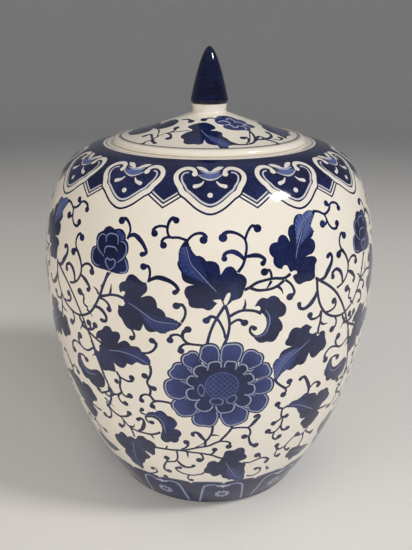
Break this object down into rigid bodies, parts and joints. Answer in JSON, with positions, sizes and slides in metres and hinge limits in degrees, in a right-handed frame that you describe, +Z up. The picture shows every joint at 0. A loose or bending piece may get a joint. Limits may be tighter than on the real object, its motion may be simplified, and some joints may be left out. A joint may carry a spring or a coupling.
{
  "type": "ginger jar",
  "caption": "Ovoid blue-and-white porcelain ginger jar on a turned foot ring, with a low domed lid that lifts off by its pointed cobalt finial.",
  "frame": {"origin": "centre of the foot ring's resting face, on the table", "axes": "+Z up along the jar's turning axis, -Y towards the viewer of the picture"},
  "size_m": [0.19, 0.19, 0.2541],
  "materials": {
    "painted_porcelain": "white porcelain painted in cobalt blue under a clear gloss glaze",
    "white_glaze": "white porcelain under a clear gloss glaze",
    "cobalt_glaze": "dark cobalt blue gloss glaze",
    "biscuit": "unglazed fired body, matt"
  },
  "bodies": {
    "jar": {"jar_body": "painted_porcelain", "foot_ring": "biscuit"},
    "lid": {"lid_cap": "painted_porcelain", "lid_flange": "biscuit", "finial_collar": "white_glaze", "finial_spire": "cobalt_glaze"}
  },
  "joints": [
    {"name": "lid_lift", "type": "slide", "parent": "jar", "child": "lid", "axis": [0, 0, 1], "range_m": [0, 0.15]}
  ]
}
